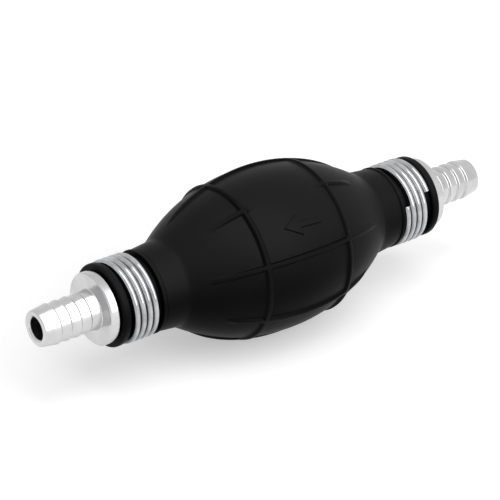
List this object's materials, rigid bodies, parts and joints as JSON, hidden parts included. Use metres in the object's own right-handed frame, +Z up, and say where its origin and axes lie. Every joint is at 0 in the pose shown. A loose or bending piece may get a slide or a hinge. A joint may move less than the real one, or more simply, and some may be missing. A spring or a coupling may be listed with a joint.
{
  "type": "squeeze-bulb siphon pump",
  "caption": "Hand-squeezed rubber bulb with a clamped barbed hose tail and a spring-loaded non-return valve at each end, for moving liquid through a hose.",
  "frame": {"origin": "middle of the bulb, on the pump's axis", "axes": "+X along the pump's axis towards the inlet, so liquid flows towards -X; +Z up; the arrow on the bulb faces the front, -Y, and up"},
  "size_m": [0.175, 0.054, 0.054],
  "materials": {
    "black_rubber": "satin, as moulded",
    "turned_aluminium": "bright, turned",
    "spring_wire": "bright, drawn and zinc plated",
    "turned_brass": "turned",
    "nitrile_rubber": "matt",
    "white_acetal": "as moulded",
    "stainless_steel": "plain"
  },
  "bodies": {
    "pump_body": {"bulb": "black_rubber", "outlet_fitting": "turned_aluminium", "inlet_fitting": "turned_aluminium", "outlet_clamp": "spring_wire", "inlet_clamp": "spring_wire", "outlet_snap_ring": "stainless_steel", "inlet_snap_ring": "stainless_steel", "outlet_valve_seat": "turned_brass", "inlet_valve_seat": "turned_brass", "outlet_seat_gasket": "nitrile_rubber", "inlet_seat_gasket": "nitrile_rubber", "outlet_valve_spring": "stainless_steel", "inlet_valve_spring": "stainless_steel", "outlet_spring_cage": "white_acetal", "inlet_spring_cage": "white_acetal"},
    "outlet_poppet_assembly": {"outlet_poppet": "white_acetal", "outlet_poppet_seal": "nitrile_rubber", "outlet_guide_pin": "stainless_steel"},
    "inlet_poppet_assembly": {"inlet_poppet": "white_acetal", "inlet_poppet_seal": "nitrile_rubber", "inlet_guide_pin": "stainless_steel"}
  },
  "joints": [
    {"name": "outlet_valve_lift", "type": "slide", "parent": "pump_body", "child": "outlet_poppet_assembly", "axis": [-1, 0, 0], "range_m": [0, 0.0016], "stiffness_N_per_m": 50, "springref_m": -0.0016, "deforming": ["outlet_valve_spring"]},
    {"name": "inlet_valve_lift", "type": "slide", "parent": "pump_body", "child": "inlet_poppet_assembly", "axis": [-1, 0, 0], "range_m": [0, 0.0016], "stiffness_N_per_m": 50, "springref_m": -0.0016, "deforming": ["inlet_valve_spring"]}
  ]
}
